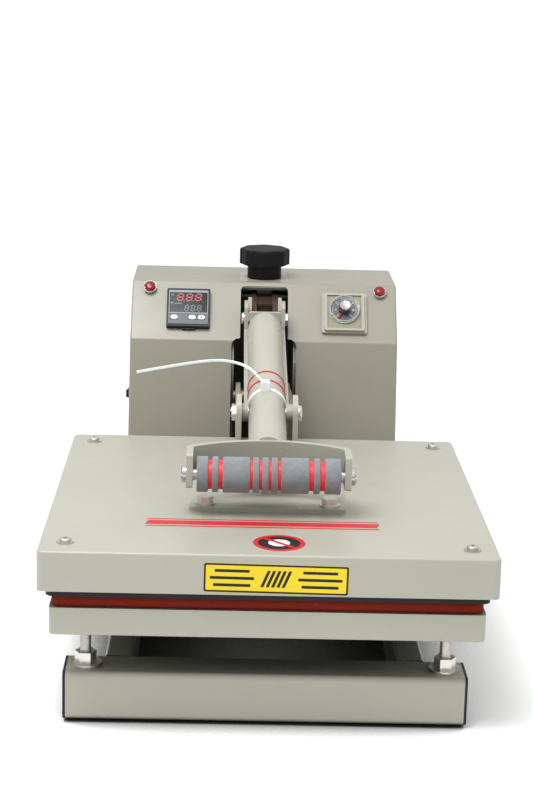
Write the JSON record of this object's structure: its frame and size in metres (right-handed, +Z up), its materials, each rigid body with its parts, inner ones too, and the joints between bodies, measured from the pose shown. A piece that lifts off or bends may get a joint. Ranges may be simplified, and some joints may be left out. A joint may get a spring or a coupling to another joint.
{
  "type": "heat press",
  "caption": "Clamshell heat press with square padded platens, toggle lever with roller grip and a control housing.",
  "frame": {"origin": "on the floor, under the middle of the whole machine", "axes": "+X to the right, +Y to the back, +Z up; the lever grip is at -Y"},
  "size_m": [0.4, 0.657, 0.3432],
  "materials": {
    "frame_paint": "satin powder paint",
    "housing_paint": "satin powder paint",
    "arm_paint": "satin powder paint",
    "lever_paint": "satin powder paint",
    "foot_rubber": "moulded",
    "cap_plastic": "moulded",
    "zinc": "zinc plated",
    "silicone": "brick red silicone sponge",
    "coated_platen": "dark non-stick coating",
    "fibre_mat": "ceramic fibre",
    "dark_steel": "oiled black steel",
    "chrome_cap": "bright",
    "grip_red": "soft red sleeve",
    "grip_grey": "grey foam",
    "link_steel": "rust brown oiled steel",
    "knob_plastic": "black phenolic",
    "black_plastic": "moulded",
    "window_plastic": "smoked window",
    "key_rubber": "pale grey key",
    "cream_plastic": "moulded",
    "dial_plastic": "clear skirt, silvered cap",
    "lens_red": "translucent red",
    "rocker_plastic": "black"
  },
  "bodies": {
    "frame": {"foot_pads": "foot_rubber", "front_crossbar": "frame_paint", "mid_crossbar": "frame_paint", "rear_crossbar": "frame_paint", "crossbar_end_caps": "cap_plastic", "rail_left": "frame_paint", "rail_right": "frame_paint", "rear_deck": "frame_paint", "levelling_studs": "zinc", "levelling_washers": "zinc", "levelling_nuts": "zinc", "lower_platen": "frame_paint", "silicone_pad": "silicone", "upright_left": "frame_paint", "upright_right": "frame_paint", "top_bridge": "frame_paint", "hinge_pin": "dark_steel", "hinge_clips": "dark_steel", "hinge_spacers": "dark_steel", "screw_block": "dark_steel", "housing_shell": "housing_paint", "housing_back": "housing_paint", "back_screws": "zinc", "controller_case": "black_plastic", "controller_window": "window_plastic", "timer_case": "cream_plastic", "lamp_bezels": "chrome_cap", "lamp_lenses": "lens_red", "switch_body": "black_plastic", "power_inlet": "black_plastic", "solid_state_relay": "black_plastic"},
    "arm": {"heat_platen": "coated_platen", "insulation_mat": "fibre_mat", "cover_posts": "dark_steel", "platen_cover": "arm_paint", "cover_screws": "zinc", "arm_base_plate": "arm_paint", "arm_bolts": "zinc", "arm_plate_left": "arm_paint", "arm_plate_right": "arm_paint", "lever_pivot_bolt": "zinc", "pivot_spacers": "arm_paint"},
    "lever": {"lever_tube": "lever_paint", "lever_ear_left": "lever_paint", "lever_ear_right": "lever_paint", "link_pin": "zinc", "bow_bracket": "lever_paint", "grip_axle": "zinc", "bow_end_screws": "chrome_cap"},
    "grip": {"grip_core": "grip_red", "grip_foam": "grip_grey"},
    "link": {"toggle_link": "link_steel"},
    "knob": {"pressure_screw": "dark_steel", "pressure_knob": "knob_plastic"},
    "key_set": {"button_set": "key_rubber"},
    "key_down": {"button_down": "key_rubber"},
    "key_up": {"button_up": "key_rubber"},
    "dial": {"timer_dial": "dial_plastic"},
    "rocker": {"switch_rocker": "rocker_plastic"}
  },
  "joints": [
    {"name": "arm_hinge", "type": "hinge", "parent": "frame", "child": "arm", "pos_m": [0, 0.1895, 0.185], "axis": [-1, 0, 0], "range_deg": [0, 40]},
    {"name": "lever_hinge", "type": "hinge", "parent": "arm", "child": "lever", "pos_m": [0, -0.0685, 0.2315], "axis": [-1, 0, 0], "range_deg": [0, 12]},
    {"name": "link_hinge", "type": "hinge", "parent": "frame", "child": "link", "pos_m": [0, 0.2595, 0.288], "axis": [1, 0, 0], "range_deg": [0, 50]},
    {"name": "grip_spin", "type": "hinge", "parent": "lever", "child": "grip", "pos_m": [0, -0.2115, 0.208], "axis": [1, 0, 0], "continuous": true},
    {"name": "pressure_turn", "type": "hinge", "parent": "frame", "child": "knob", "pos_m": [0, 0.2595, 0.32], "axis": [0, 0, 1], "range_deg": [-720, 720]},
    {"name": "timer_turn", "type": "hinge", "parent": "frame", "child": "dial", "pos_m": [0.089, 0.19734, 0.28698], "axis": [0, -0.7663, 0.6425], "range_deg": [0, 270]},
    {"name": "rocker_tilt", "type": "hinge", "parent": "frame", "child": "rocker", "pos_m": [-0.147, 0.2115, 0.183], "axis": [0, 0, 1], "range_deg": [-12, 0]},
    {"name": "key_set_press", "type": "slide", "parent": "frame", "child": "key_set", "axis": [0, 0.7663, -0.6425], "range_m": [0, 0.0005], "stiffness_N_per_m": 300},
    {"name": "key_down_press", "type": "slide", "parent": "frame", "child": "key_down", "axis": [0, 0.7663, -0.6425], "range_m": [0, 0.0005], "stiffness_N_per_m": 300},
    {"name": "key_up_press", "type": "slide", "parent": "frame", "child": "key_up", "axis": [0, 0.7663, -0.6425], "range_m": [0, 0.0005], "stiffness_N_per_m": 300}
  ],
  "couplings": [
    {"joint": "lever_hinge", "follows": "arm_hinge", "ratio": 0.28},
    {"joint": "link_hinge", "follows": "arm_hinge", "ratio": 1.19}
  ]
}
